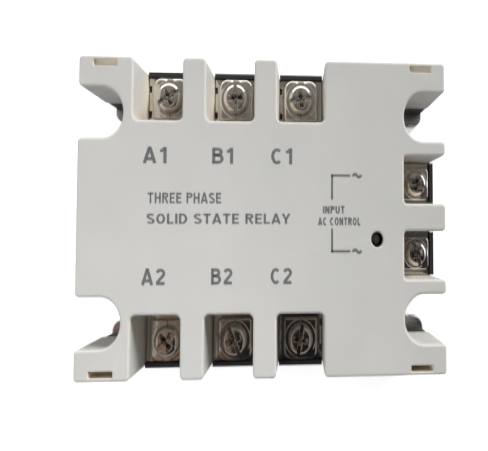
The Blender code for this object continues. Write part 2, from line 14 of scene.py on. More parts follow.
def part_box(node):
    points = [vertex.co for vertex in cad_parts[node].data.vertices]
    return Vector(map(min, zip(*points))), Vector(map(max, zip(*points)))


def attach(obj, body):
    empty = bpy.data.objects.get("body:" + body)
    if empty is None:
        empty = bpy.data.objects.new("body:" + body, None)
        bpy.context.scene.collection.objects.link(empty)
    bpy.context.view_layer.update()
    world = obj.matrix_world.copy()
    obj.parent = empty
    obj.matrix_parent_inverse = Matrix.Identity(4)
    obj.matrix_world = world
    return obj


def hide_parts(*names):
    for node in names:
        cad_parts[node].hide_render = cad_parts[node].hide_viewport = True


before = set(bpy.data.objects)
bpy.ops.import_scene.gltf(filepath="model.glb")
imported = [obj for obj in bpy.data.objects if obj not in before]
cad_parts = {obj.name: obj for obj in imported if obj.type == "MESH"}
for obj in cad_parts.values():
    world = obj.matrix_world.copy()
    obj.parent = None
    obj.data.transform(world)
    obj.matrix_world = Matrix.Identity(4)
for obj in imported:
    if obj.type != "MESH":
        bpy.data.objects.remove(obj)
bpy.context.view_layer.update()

MM = 0.001
SHARP_ANGLE = 32
POWER = ("a1", "b1", "c1", "a2", "b2", "c2")
INPUT = ("1", "2")
SCREW_ANGLES = {"a1": 28, "b1": 92, "c1": 8, "a2": 40, "b2": 115, "c2": 80, "1": 70, "2": 20}

# Cover
EDGE_R = 1.0
TOP_FILLET = 0.65
WALL = 1.8
ROOF = 2.0
NOTCH_Y = 23.95
NOTCH_HALF = 5.85
NOTCH_DEPTH = 12.3
POWER_BAY_HALF = 6.85
POWER_BAY_DEPTH = 14.7
INPUT_BAY_HALF = 5.7
INPUT_BAY_DEPTH = 12.4
BAY_FLOOR_R = 1.4
MOUTH_R = 1.15
LATCH_X = 45.2
LATCH_Y = 35.4
LATCH_HALF = (3.25, 0.75)
LATCH_DEPTHS = (7.5, 1.1)
LED_HOLE_R = 1.85
LED_LIP = 0.35
LED_COUNT = 48

# Printed marks: each title's rectangle on the face is x0, y0, x1, y1
INK_T = 0.04
INK_STROKE = 0.20
BOLD_STROKE = 0.27
LETTER_GAP = 0.14
WIDE_GAP = 0.2
TITLES = {"THREE PHASE": (-33.0, 3.1, -12.6, 5.6), "SOLID STATE RELAY": (-33.2, -1.6, 6.9, 0.8)}
INPUT_TITLES = {"INPUT": (16.4, 0.85, 22.6, 2.6), "AC CONTROL": (15.0, -1.9, 27.2, -0.1)}
NAME_PLACES = {"a": (-31.15, 3.2), "b": (-12.3, 2.95), "c": (4.45, 3.0)}
NAME_Y = {"1": 14.15, "2": -13.6}
NAME_HALF_H = 1.88
BRACKET_X = 19.0
BRACKET_ARM = 5.0
BRACKET_SPANS = ((9.77, 4.36), (-7.94, -2.88))
LINE_WIDTH = 0.55
TILDE_X = (25.0, 27.5)
TILDE_HALF_H = 1.35

# Floor: how far below the plate it lies, and how much paler the camera sees it
FLOOR_Z = -0.02
FLOOR_GLOW = 0.5

# Lights: place and side in metres, power in watts, colour
LIGHTS = {
    "key": ((1.03, 1.08, 0.585), 0.62, 38.0, (1.0, 0.98, 0.96)),
    "side": ((-0.25, -0.05, 0.20), 0.15, 0.45, (1.0, 1.0, 1.0)),
    "near": ((-0.02, -0.04, 0.14), 0.06, 0.045, (1.0, 1.0, 1.0)),
}

# Screws and clamp plates
POWER_SIZES = {"pitch": 0.7, "shank_r": 1.9, "outer_r": 2.6, "rim_r": 0.66, "hole_r": 2.15}
INPUT_SIZES = {"pitch": 0.6, "shank_r": 1.6, "outer_r": 1.3, "rim_r": 0.30, "hole_r": 1.85}
HEAD_GAP = 0.05
DOME_SHARE = 0.42
BRIM_SHARE = 0.18
THREAD_DEPTH = 0.32
THREAD_COUNT = 40
DRIVE_SLOT_HALF = 0.55
DRIVE_SLOT_DEPTH = 1.0
CROSS_HALF = 0.5
CROSS_REACH = 0.6
CROSS_DEPTH = 1.9
PAD_RISE = 0.10
PAD_SHARE = 0.87
PAD_EDGE = 0.3
TONGUE_HALF = 1.05
SLIT_HALF = 0.16
CHANNEL_SHARE = 0.62
CHANNEL_HALF = 0.35

# Camera at the photograph's viewpoint: place in millimetres, tilt in degrees. The photograph is squeezed
# sideways, so the picture is stretched upwards.
CAMERA_PLACE = (9.56, -4.01, 184.5)
CAMERA_TILT = (2.797, -4.393, -0.051)
CAMERA_LENS = 38.82
CAMERA_SHIFT = (-0.1962, -0.0379)
STRETCH = 1.236
SAME_VIEW = 0.001


# ---------------------------------------------------------------- geometry helpers


def box_mm(node):
    """A CAD node's lowest and highest corners in millimetres."""
    low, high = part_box(node)
    return Vector(low) / MM, Vector(high) / MM


def centre_mm(node):
    low, high = box_mm(node)
    return (low + high) / 2


def outline(corners, inset=0.0, steps=6, long_steps=24):
    """Points round counter-clockwise corners (x, y, radius), each an arc, all moved inwards by inset."""
    points = []
    for i, (x, y, radius) in enumerate(corners):
        here = Vector((x, y))
        entry = (here - Vector(corners[i - 1][:2])).normalized()
        leave = (Vector(corners[(i + 1) % len(corners)][:2]) - here).normalized()
        entry_normal = Vector((-entry.y, entry.x))
        leave_normal = Vector((-leave.y, leave.x))
        mid = (entry_normal + leave_normal) / (1 + entry_normal.dot(leave_normal))
        if radius == 0:
            points.append(here + mid * inset)
            continue
        turn = math.atan2(entry.x * leave.y - entry.y * leave.x, entry.dot(leave))
        side = 1 if turn > 0 else -1
        centre = here + mid * side * radius
        spoke = -entry_normal * side * (radius - side * inset)
        count = long_steps if radius > 2 else steps
        for step in range(count + 1):
            points.append(centre + Matrix.Rotation(turn * step / count, 2) @ spoke)
    return points


def rectangle(x0, y0, x1, y1, radius=0.0):
    return [(x0, y0, radius), (x1, y0, radius), (x1, y1, radius), (x0, y1, radius)]


def pocket(start, end, depth, floor_r, mouth_r=EDGE_R):
    """Four corners of a pocket let into an outline between two points of a counter-clockwise edge."""
    start, end = Vector(start), Vector(end)
    along = (end - start).normalized()
    inward = Vector((-along.y, along.x)) * depth
    return [(*start, mouth_r), (*(start + inward), floor_r), (*(end + inward), floor_r), (*end, mouth_r)]


def add_loft(bm, rings):
    """Closed solid through rings of equal length, lowest first, each ring counter-clockwise."""
    rows = [[bm.verts.new(point) for point in ring] for ring in rings]
    bm.faces.new(reversed(rows[0]))
    bm.faces.new(rows[-1])
    count = len(rows[0])
    for low, high in zip(rows, rows[1:]):
        for i in range(count):
            j = (i + 1) % count
            bm.faces.new((low[i], low[j], high[j], high[i]))


def lofted(bm, corners, levels, matrix=None):
    """Solid over an outline, each level an (inset, z) pair."""
    matrix = matrix or Matrix()
    add_loft(bm, [[matrix @ Vector((x, y, z)) for x, y in outline(corners, inset)] for inset, z in levels])


def ring(radius, z, count=64, matrix=None):
    matrix = matrix or Matrix()
    spots = []
    for i in range(count):
        angle = math.tau * i / count
        spots.append(matrix @ Vector((radius * math.cos(angle), radius * math.sin(angle), z)))
    return spots


def rounded_edge(z, radius, steps=6, inset=0.0):
    """(inset, z) levels of a quarter round that ends flat at height z."""
    levels = []
    for step in range(steps + 1):
        bend = math.pi / 2 * step / steps
        levels.append((inset + radius * (1 - math.cos(bend)), z - radius * (1 - math.sin(bend))))
    return levels


def mesh_from(name, bm, angle=SHARP_ANGLE):
    bmesh.ops.scale(bm, vec=(MM, MM, MM), verts=bm.verts)
    bmesh.ops.recalc_face_normals(bm, faces=bm.faces)
    mesh = bpy.data.meshes.new(name)
    bm.to_mesh(mesh)
    bm.free()
    mesh.shade_smooth()
    mesh.set_sharp_from_angle(angle=math.radians(angle))
    return mesh


def place(name, mesh, location=(0, 0, 0), turn=0.0):
    obj = bpy.data.objects.new(name, mesh)
    obj.location = Vector(location) * MM
    obj.rotation_euler.z = turn
    bpy.context.scene.collection.objects.link(obj)
    return obj


def carved(name, bm, cuts, bevel=0.0, segments=2, angle=SHARP_ANGLE, adds=()):
    """Mesh of a solid with its additions and less its cutters, with its sharp edges rounded."""
    solid = place(name + "_blank", mesh_from(name, bm))
    helpers = [place(f"{name}_tool_{i}", mesh_from(name, tool)) for i, tool in enumerate((*adds, *cuts))]
    for i, helper in enumerate(helpers):
        modifier = solid.modifiers.new(helper.name, "BOOLEAN")
        modifier.operation = "UNION" if i < len(adds) else "DIFFERENCE"
        modifier.solver = "EXACT"
        modifier.object = helper
    if bevel:
        add_bevel(solid, bevel, segments)
    mesh = bpy.data.meshes.new_from_object(solid.evaluated_get(bpy.context.evaluated_depsgraph_get()))
    mesh.name = name
    mesh.shade_smooth()
    mesh.set_sharp_from_angle(angle=math.radians(angle))
    for obj in (solid, *helpers):
        bpy.data.objects.remove(obj)
    return mesh


def add_bevel(obj, width, segments):
    modifier = obj.modifiers.new("edges", "BEVEL")
    modifier.width = width * MM
    modifier.segments = segments
    modifier.limit_method = "ANGLE"
    modifier.angle_limit = math.radians(40)
    modifier.use_clamp_overlap = True


def even_normals(obj):
    """Keeps flat faces flat beside rounded edges."""
    modifier = obj.modifiers.new("normals", "WEIGHTED_NORMAL")
    modifier.keep_sharp = True


def refined(node, bevel, segments=2):
    """Copy of a CAD node with its flat faces merged and its edges rounded."""
    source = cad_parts[node]
    bm = bmesh.new()
    bm.from_mesh(source.data)
    bmesh.ops.remove_doubles(bm, verts=bm.verts, dist=1e-7)
    bmesh.ops.dissolve_limit(bm, angle_limit=math.radians(1), verts=bm.verts, edges=bm.edges)
    mesh = bpy.data.meshes.new(node + "_fine")
    bm.to_mesh(mesh)
    bm.free()
    mesh.shade_smooth()
    mesh.set_sharp_from_angle(angle=math.radians(SHARP_ANGLE))
    obj = place(node + "_fine", mesh)
    add_bevel(obj, bevel, segments)
    even_normals(obj)
    return obj


def finish_piece(obj, material, body, node):
    """Gives a fine piece its material and body, and hides the CAD node that it stands for."""
    obj.data.materials.clear()
    obj.data.materials.append(material)
    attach(obj, body)
    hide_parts(node)


# ---------------------------------------------------------------- materials


class Graph:
    """A material's node tree, with short calls for the nodes used here."""

    def __init__(self, name):
        self.material = bpy.data.materials.new(name)
        self.material.use_nodes = True
        self.tree = self.material.node_tree
        self.shader = self.tree.nodes["Principled BSDF"]
        coords = self.tree.nodes.new("ShaderNodeTexCoord")
        self.mm = self.vector("SCALE", coords.outputs["Object"], scale=1 / MM)

    def link(self, source, target):
        self.tree.links.new(source, target)

    def vector(self, operation, source, scale=1.0, other=None):
        node = self.tree.nodes.new("ShaderNodeVectorMath")
        node.operation = operation
        self.link(source, node.inputs[0])
        if other is not None:
            node.inputs[1].default_value = other
        if operation == "SCALE":
            node.inputs["Scale"].default_value = scale
        return node.outputs["Vector"]

    def noise(self, scale, detail=3.0, stretch=None, roughness=0.55):
        """Noise whose features are about 1 / scale millimetres across."""
        node = self.tree.nodes.new("ShaderNodeTexNoise")
        node.inputs["Scale"].default_value = scale
        node.inputs["Detail"].default_value = detail
        node.inputs["Roughness"].default_value = roughness
        source = self.mm
        if stretch:
            source = self.vector("MULTIPLY", self.mm, other=stretch)
        self.link(source, node.inputs["Vector"])
        return node.outputs["Fac"]

    def remap(self, source, low, high, to_low, to_high):
        node = self.tree.nodes.new("ShaderNodeMapRange")
        self.link(source, node.inputs["Value"])
        for key, value in (("From Min", low), ("From Max", high), ("To Min", to_low), ("To Max", to_high)):
            node.inputs[key].default_value = value
        return node.outputs["Result"]

    def maths(self, operation, a, b):
        node = self.tree.nodes.new("ShaderNodeMath")
        node.operation = operation
        for socket, value in zip(node.inputs, (a, b)):
            if isinstance(value, (int, float)):
                socket.default_value = value
            else:
                self.link(value, socket)
        return node.outputs["Value"]

    def mix(self, factor, a, b):
        """Blend of two colours, each a colour or an output."""
        node = self.tree.nodes.new("ShaderNodeMix")
        node.data_type = "RGBA"
        self.link(factor, node.inputs["Factor"])
        for socket, value in ((node.inputs[6], a), (node.inputs[7], b)):
            if isinstance(value, tuple):
                socket.default_value = (*value, 1.0)
            else:
                self.link(value, socket)
        return node.outputs[2]

    def crevice(self, distance):
        """1 in the open and towards 0 in corners and recesses."""
        node = self.tree.nodes.new("ShaderNodeAmbientOcclusion")
        node.samples = 6
        node.inputs["Distance"].default_value = distance * MM
        return node.outputs["AO"]

    def edges(self):
        """1 on convex edges, 0 elsewhere."""
        node = self.tree.nodes.new("ShaderNodeNewGeometry")
        return self.remap(node.outputs["Pointiness"], 0.5, 0.56, 0.0, 1.0)

    def bump(self, height, distance, normal=None):
        node = self.tree.nodes.new("ShaderNodeBump")
        node.inputs["Distance"].default_value = distance * MM
        self.link(height, node.inputs["Height"])
        if normal:
            self.link(normal, node.inputs["Normal"])
        return node.outputs["Normal"]

    def set(self, name, value):
        if isinstance(value, (int, float)):
            self.shader.inputs[name].default_value = value
        elif isinstance(value, tuple):
            self.shader.inputs[name].default_value = (*value, 1.0)
        else:
            self.link(value, self.shader.inputs[name])


def cover_plastic():
    """Cream-grey moulded plastic: fine grain, slow sheen changes, and a painted warm glow in its recesses for
    light shining through the plastic.
    """
    g = Graph("cover_plastic_look")
    mottle = g.remap(g.noise(0.05, 2), 0.35, 0.65, 0.0, 1.0)
    colour = g.mix(mottle, (0.425, 0.426, 0.413), (0.445, 0.444, 0.431))
    # Painted glow: recesses are mixed towards a lighter warm cream, standing in for light shining through the
    # thin plastic.
    recess_glow = g.remap(g.crevice(9), 0.30, 0.90, 1.0, 0.0)
    colour = g.mix(recess_glow, colour, (0.66, 0.59, 0.475))
    specks = g.remap(g.noise(1.6, 2), 0.71, 0.76, 0.0, 0.35)
    colour = g.mix(specks, colour, (0.30, 0.29, 0.26))
    colour = g.mix(g.maths("MULTIPLY", g.edges(), 0.3), colour, (0.56, 0.55, 0.51))
    g.set("Base Color", colour)
    g.set("Roughness", g.remap(g.noise(0.35, 4), 0.3, 0.7, 0.36, 0.50))
    g.set("Normal", g.bump(g.noise(4.5, 3), 0.012, g.bump(g.noise(0.09, 2), 0.12)))
    g.set("Subsurface Weight", 0.12)
    g.set("Subsurface Scale", 0.0012)
    g.shader.inputs["Subsurface Radius"].default_value = (1.0, 0.75, 0.5)
    return g.material


def frame_plastic():
    """Black glass-filled plastic with pale dust in its corners."""
    g = Graph("frame_plastic_look")
    fibres = g.remap(g.noise(3.0, 3, (0.5, 2.5, 1.0)), 0.4, 0.75, 0.0, 1.0)
    colour = g.mix(fibres, (0.013, 0.013, 0.014), (0.024, 0.024, 0.025))
    dust = g.maths("MULTIPLY", g.remap(g.crevice(2.5), 0.3, 0.9, 0.12, 0.0), g.noise(0.6, 4))
    colour = g.mix(dust, colour, (0.20, 0.19, 0.17))
    g.set("Base Color", colour)
    g.set("Roughness", g.remap(g.noise(0.8, 4), 0.3, 0.7, 0.46, 0.62))
    g.set("Normal", g.bump(g.noise(5.0, 3), 0.02))
    return g.material


def plate_aluminium():
    """Rolled aluminium: long grain along x, light scuffs, brighter broken edges."""
    g = Graph("plate_aluminium_look")
    grain = g.noise(2.0, 4, (0.04, 6.0, 6.0))
    stain = g.remap(g.noise(0.07, 4), 0.35, 0.7, 0.0, 1.0)
    colour = g.mix(stain, (0.74, 0.745, 0.75), (0.62, 0.62, 0.625))
    colour = g.mix(g.maths("MULTIPLY", g.edges(), 0.5), colour, (0.86, 0.86, 0.86))
    g.set("Base Color", colour)
    g.set("Metallic", 1.0)
    g.set("Roughness", g.remap(grain, 0.3, 0.7, 0.16, 0.32))
    scuffs = g.noise(0.5, 8, (1.0, 0.12, 1.0), 0.7)
    g.set("Normal", g.bump(grain, 0.015, g.bump(scuffs, 0.02)))
    return g.material


def plated_steel(name, bright, dull, roughness):
    """Plated metal with a warm tarnish that comes and goes from piece to piece, and painted shade in its
    recesses.
    """
    g = Graph(name)
    tarnish = g.remap(g.noise(0.10, 5, None, 0.65), 0.38, 0.66, 0.0, 1.0)
    colour = g.mix(tarnish, bright, dull)
    # Painted shade: recesses are darkened towards near black.
    recess_shade = g.remap(g.crevice(0.8), 0.2, 0.75, 0.85, 0.0)
    colour = g.mix(recess_shade, colour, (0.06, 0.05, 0.04))
    g.set("Base Color", colour)
    g.set("Metallic", 1.0)
    streaks = g.noise(1.2, 6, (0.25, 2.0, 1.0), 0.65)
    g.set("Roughness", g.remap(streaks, 0.3, 0.7, roughness, roughness + 0.08))
    g.set("Normal", g.bump(g.noise(0.6, 3), 0.011, g.bump(streaks, 0.001)))
    return g.material


def printed_ink():
    """Dark grey pad-printed ink, a little thin in places."""
    g = Graph("printed_ink_look")
    thin = g.remap(g.noise(2.2, 4), 0.45, 0.75, 0.0, 0.45)
    g.set("Base Color", g.mix(thin, (0.10, 0.10, 0.105), (0.20, 0.20, 0.20)))
    g.set("Roughness", g.remap(g.noise(1.0, 2), 0.3, 0.7, 0.45, 0.65))
    g.set("Normal", g.bump(g.noise(6.0, 2), 0.008))
    return g.material


def moulded(name, dark, light, roughness, metallic=0.0, coarse=0.8, depth=0.01):
    """Two-tone surface with noise in its colour, sheen and height, for the parts inside."""
    g = Graph(name)
    g.set("Base Color", g.mix(g.remap(g.noise(coarse, 4), 0.35, 0.65, 0.0, 1.0), dark, light))
    g.set("Metallic", metallic)
    g.set("Roughness", g.remap(g.noise(coarse * 2, 3), 0.3, 0.7, roughness - 0.06, roughness + 0.06))
    g.set("Normal", g.bump(g.noise(coarse * 4, 3), depth))
    return g.material


def led_lens():
    """Smoked epoxy with fine ripples."""
    g = Graph("led_lens_look")
    g.set("Base Color", g.mix(g.noise(0.8, 2), (0.13, 0.13, 0.127), (0.18, 0.178, 0.17)))
    g.set("Roughness", g.remap(g.noise(1.5, 2), 0.3, 0.7, 0.12, 0.26))
    g.set("Normal", g.bump(g.noise(1.5, 2), 0.01))
    return g.material


def floor_card():
    """Matt card, paler to the camera than to the relay, so that it throws little light back up."""
    g = Graph("floor_card_look")
    seen = g.tree.nodes.new("ShaderNodeLightPath").outputs["Is Camera Ray"]
    card = g.mix(g.noise(0.02, 3), (0.86, 0.86, 0.86), (0.89, 0.89, 0.885))
    g.set("Base Color", g.mix(seen, (0.55, 0.55, 0.55), card))
    g.set("Roughness", 0.9)
    g.set("Specular IOR Level", 0.2)
    g.set("Emission Color", (1.0, 1.0, 1.0))
    g.set("Emission Strength", g.remap(seen, 0.0, 1.0, 0.0, FLOOR_GLOW))
    g.set("Normal", g.bump(g.noise(0.8, 4), 0.02))
    return g.material


LOOKS = {
    "cover": cover_plastic(),
    "frame": frame_plastic(),
    "plate": plate_aluminium(),
    "lug": plated_steel("tinned_lug_look", (0.70, 0.67, 0.63), (0.56, 0.49, 0.42), 0.08),
    "steel": plated_steel("nickel_steel_look", (0.80, 0.775, 0.74), (0.66, 0.59, 0.52), 0.06),
    "ink": printed_ink(),
    "ceramic": moulded("ceramic_look", (0.78, 0.77, 0.73), (0.86, 0.85, 0.82), 0.5),
    "silicon": moulded("silicon_look", (0.10, 0.10, 0.13), (0.16, 0.16, 0.19), 0.25, 0.6),
    "potting": moulded("potting_look", (0.035, 0.035, 0.035), (0.06, 0.06, 0.058), 0.4, 0.0, 0.2, 0.05),
    "board": moulded("board_look", (0.03, 0.15, 0.06), (0.05, 0.21, 0.09), 0.45, 0.0, 0.5),
    "chip": moulded("chip_look", (0.015, 0.015, 0.016), (0.03, 0.03, 0.031), 0.5),
    "film": moulded("film_look", (0.66, 0.46, 0.06), (0.76, 0.56, 0.10), 0.35, 0.0, 0.4),
    "lens": led_lens(),
}


# ---------------------------------------------------------------- cover


def bays():
    """Each bay's outward matrix, half width, reach beyond the screw's axis and depth."""
    high = box_mm("top_cover")[1]
    found = []
    for name in POWER:
        spot = centre_mm("power_screw_" + name)
        turn = Matrix.Rotation(0 if spot.y > 0 else math.pi, 4, "Z")
        matrix = Matrix.Translation((spot.x, spot.y, 0)) @ turn
        found.append((matrix, POWER_BAY_HALF, high.y - abs(spot.y), POWER_BAY_DEPTH))
    for name in INPUT:
        spot = centre_mm("input_screw_" + name)
        matrix = Matrix.Translation((spot.x, spot.y, 0)) @ Matrix.Rotation(-math.pi / 2, 4, "Z")
        found.append((matrix, INPUT_BAY_HALF, high.x - spot.x, INPUT_BAY_DEPTH))
    return found


def cover_corners():
    """Corners of the cover's plan, counter-clockwise from the lower right."""
    low, high = box_mm("top_cover")
    upper = sorted((centre_mm("power_screw_" + name).x for name in POWER[:3]), reverse=True)
    corners = [(high.x, low.y, EDGE_R)]
    notch_ys = (-NOTCH_Y, NOTCH_Y)
    input_ys = sorted(centre_mm("input_screw_" + name).y for name in INPUT)
    spans = [(notch_ys[0], NOTCH_HALF, NOTCH_DEPTH, NOTCH_HALF - 0.1, EDGE_R)]
    spans += [(y, INPUT_BAY_HALF, INPUT_BAY_DEPTH, EDGE_R, MOUTH_R) for y in input_ys]
    spans += [(notch_ys[1], NOTCH_HALF, NOTCH_DEPTH, NOTCH_HALF - 0.1, EDGE_R)]
    for y, half, *shape in spans:
        corners += pocket((high.x, y - half), (high.x, y + half), *shape)
    corners += [(high.x, high.y, EDGE_R)]
    bay = (POWER_BAY_DEPTH, BAY_FLOOR_R, MOUTH_R)
    for x in upper:
        corners += pocket((x + POWER_BAY_HALF, high.y), (x - POWER_BAY_HALF, high.y), *bay)
    corners += [(low.x, high.y, EDGE_R)]
    for y in reversed(notch_ys):
        corners += pocket(
            (low.x, y + NOTCH_HALF), (low.x, y - NOTCH_HALF), NOTCH_DEPTH, NOTCH_HALF - 0.1
        )
    corners += [(low.x, low.y, EDGE_R)]
    for x in reversed(upper):
        corners += pocket((x - POWER_BAY_HALF, low.y), (x + POWER_BAY_HALF, low.y), *bay)
    return corners


def build_cover():
    """Moulded shell with a small round along every top edge, latch slots and the light's window."""
    low, high = box_mm("top_cover")
    face = high.z - INK_T - 0.01
    bm = bmesh.new()
    levels = [(0.25, low.z), (0.0, low.z + 0.25), *rounded_edge(face, TOP_FILLET, 7)]
    lofted(bm, cover_corners(), levels)

    hollow = bmesh.new()
    inside = rectangle(low.x + WALL, low.y + WALL, high.x - WALL, high.y - WALL, 0.5)
    lofted(hollow, inside, [(0, low.z - 1), (0, face - ROOF)])
    keepers = []
    for matrix, half, reach, depth in bays():
        keep = bmesh.new()
        wall = rectangle(-half - WALL, reach - depth - WALL, half + WALL, reach + 1)
        lofted(keep, wall, [(0, low.z - 2), (0, high.z)], matrix)
        keepers.append(keep)
    for side in (-1, 1):
        for y in (-NOTCH_Y, NOTCH_Y):
            keep = bmesh.new()
            half = NOTCH_HALF + WALL
            reach = NOTCH_DEPTH + WALL
            x0, x1 = sorted((side * (high.x + 1), side * (high.x - reach)))
            corners = rectangle(x0, y - half, x1, y + half, half - 0.1)
            for i in ((1, 2) if side > 0 else (0, 3)):
                corners[i] = (*corners[i][:2], 0)
            lofted(keep, corners, [(0, low.z - 2), (0, high.z)])
            keepers.append(keep)
            keep = bmesh.new()
            x, y_latch = side * LATCH_X, math.copysign(LATCH_Y, y)
            half_x, half_y = LATCH_HALF[0] + WALL, LATCH_HALF[1] + WALL
            wall = rectangle(x - half_x, y_latch - half_y, x + half_x, y_latch + half_y)
            lofted(keep, wall, [(0, face - LATCH_DEPTHS[y > 0] - ROOF), (0, high.z)])
            keepers.append(keep)
    cuts = [bmesh_of(carved("cover_hollow", hollow, keepers))]
    for x in (-LATCH_X, LATCH_X):
        for y in (-LATCH_Y, LATCH_Y):
            slot = bmesh.new()
            half_x, half_y = LATCH_HALF
            corners = rectangle(x - half_x, y - half_y, x + half_x, y + half_y, 0.2)
            levels = [(0, face - LATCH_DEPTHS[y > 0]), (0, face - 0.2), (-0.18, face), (-0.18, face + 1)]
            lofted(slot, corners, levels)
            cuts.append(slot)
    window = bmesh.new()
    spot = centre_mm("status_led")
    matrix = Matrix.Translation((spot.x, spot.y, 0))
    profile = [(LED_HOLE_R, face - ROOF - 1), (LED_HOLE_R, face - LED_LIP)]
    for step in range(1, 6):
        bend = math.pi / 2 * step / 5
        radius = LED_HOLE_R + LED_LIP * (1 - math.cos(bend))
        profile.append((radius, face - LED_LIP + LED_LIP * math.sin(bend)))
    profile.append((LED_HOLE_R + LED_LIP, face + 1))
    add_loft(window, [ring(radius, z, LED_COUNT, matrix) for radius, z in profile])
    cuts.append(window)
    for matrix, half, reach, depth in bays():
        opening = bmesh.new()
        span = half - 0.05
        seat = box_mm("power_lug_a1")[1].z - low.z + 0.35
        corners = rectangle(-span, reach - depth - WALL - 0.5, span, reach - depth + 0.5)
        lofted(opening, corners, [(0, low.z - 1), (0, low.z + seat)], matrix)
        cuts.append(opening)
    mesh = carved("top_cover_fine", bm, cuts, angle=28)
    cover = place("top_cover_fine", mesh)
    even_normals(cover)
    finish_piece(cover, LOOKS["cover"], "body", "top_cover")
    return face


def bmesh_of(mesh):
    """A mesh in metres as a bmesh in millimetres."""
    bm = bmesh.new()
    bm.from_mesh(mesh)
    bmesh.ops.scale(bm, vec=(1 / MM,) * 3, verts=bm.verts)
    return bm


# ---------------------------------------------------------------- printed marks


def arc(x, y, rx, ry, start, end):
    """Points of an elliptical arc, angles in degrees."""
    count = max(4, round(abs(end - start) / 15))
    angles = [math.radians(start + (end - start) * i / count) for i in range(count + 1)]
    return [(x + rx * math.cos(angle), y + ry * math.sin(angle)) for angle in angles]


def letters():
    """Plain block letters one unit high: each a width and the middle lines of its strokes."""
    h = INK_STROKE / 2
    top = 1 - h
    bowl = [(h, top), *arc(0.36, 0.74, 0.23, top - 0.74, 90, -90), (h, 2 * 0.74 - top)]
    shapes = {
        "A": (0.74, [[(0.06, 0), (0.37, 1)], [(0.68, 0), (0.37, 1)], [(0.17, 0.27), (0.57, 0.27)]]),
        "C": (0.70, [arc(0.37, 0.5, 0.37 - h, 0.5 - h, 48, 312)]),
        "E": (0.58, [
            [(h, 0), (h, 1)], [(h, h), (0.58, h)], [(h, 0.52), (0.53, 0.52)], [(h, top), (0.58, top)],
        ]),
        "H": (0.68, [[(h, 0), (h, 1)], [(0.68 - h, 0), (0.68 - h, 1)], [(h, 0.52), (0.6, 0.52)]]),
        "I": (0.17, [[(h, 0), (h, 1)]]),
        "L": (0.54, [[(h, 0), (h, 1)], [(h, h), (0.54, h)]]),
        "N": (0.68, [[(h, 0), (h, 1)], [(0.68 - h, 0), (0.68 - h, 1)], [(h, 0.97), (0.68 - h, 0.03)]]),
        "O": (0.74, [arc(0.37, 0.5, 0.37 - h, 0.5 - h, 0, 360)]),
        "P": (0.64, [[(h, 0), (h, 1)], bowl]),
        "R": (0.68, [[(h, 0), (h, 1)], bowl, [(0.34, 0.5), (0.61, 0)]]),
        "T": (0.62, [[(0.31, 0), (0.31, 1)], [(0, top), (0.62, top)]]),
        "U": (0.68, [[(h, 1), *arc(0.34, 0.34, 0.34 - h, 0.34 - h, 180, 360), (0.68 - h, 1)]]),
        "Y": (0.68, [[(0.06, 1), (0.34, 0.42)], [(0.62, 1), (0.34, 0.42)], [(0.34, 0), (0.34, 0.46)]]),
        "1": (0.42, [[(0.33, 0), (0.33, 1)], [(0.04, 0.76), (0.19, 0.79), (0.3, 0.93)]]),
        " ": (0.26, []),
    }
    lower = [(h, 0.54), *arc(0.38, 0.31, 0.24, 0.31 - h, 90, -90), (h, h)]
    upper = [(h, top), *arc(0.36, 0.73, 0.20, top - 0.73, 90, -90), (h, 0.54)]
    shapes["B"] = (0.68, [[(h, 0), (h, 1)], upper, lower])
    shapes["D"] = (0.70, [[(h, 0), (h, 1)], [(h, top), *arc(0.30, 0.5, 0.40 - h, 0.5 - h, 90, -90), (h, h)]])
    shapes["S"] = (0.64, [
        [*arc(0.32, 0.73, 0.24, top - 0.73, 25, 255), *arc(0.32, 0.28, 0.25, 0.28 - h, 75, -155)],
    ])
    shapes["2"] = (0.62, [
        [*arc(0.31, 0.70, 0.23, top - 0.70, 165, -35), (0.09, 0.15)], [(0.02, h), (0.6, h)],
    ])
    shapes["~"] = (0.9, [[*arc(0.24, 0.42, 0.20, 0.20, 180, 20), *arc(0.64, 0.58, 0.20, 0.20, 200, 360)]])
    return shapes


def add_text(bm, text, x0, y0, x1, y1, z, gap=LETTER_GAP, weight=INK_STROKE):
    """Lettering that fills a rectangle of the face, as a thin layer of ink."""
    shapes = letters()
    width = sum(shapes[letter][0] + gap for letter in text) - gap
    across, up = (x1 - x0) / width, y1 - y0
    curve = bpy.data.curves.new(text, "CURVE")
    curve.dimensions = "3D"
    curve.bevel_depth = weight / 2
    curve.bevel_resolution = 1
    curve.use_fill_caps = True
    start = 0.0
    for letter in text:
        advance, strokes = shapes[letter]
        for stroke in strokes:
            line = curve.splines.new("POLY")
            line.points.add(len(stroke) - 1)
            for point, (x, y) in zip(line.points, stroke):
                point.co = (start + x, y, 0, 1)
        start += advance + gap
    obj = bpy.data.objects.new(text, curve)
    bpy.context.scene.collection.objects.link(obj)
    mesh = bpy.data.meshes.new_from_object(obj.evaluated_get(bpy.context.evaluated_depsgraph_get()))
    bpy.data.objects.remove(obj)
    for v in mesh.vertices:
        v.co = Vector((x0 + v.co.x * across, y0 + v.co.y * up, z + v.co.z * 2 * INK_T / weight))
    bm.from_mesh(mesh)
    bpy.data.meshes.remove(mesh)


def add_line(bm, x0, y0, x1, y1, z, width):
    """Straight printed line along x or y."""
    half = width / 2
    corners = rectangle(min(x0, x1) - half, min(y0, y1) - half, max(x0, x1) + half, max(y0, y1) + half, 0.05)
    lofted(bm, corners, [(0, z - INK_T), (0, z + INK_T)])


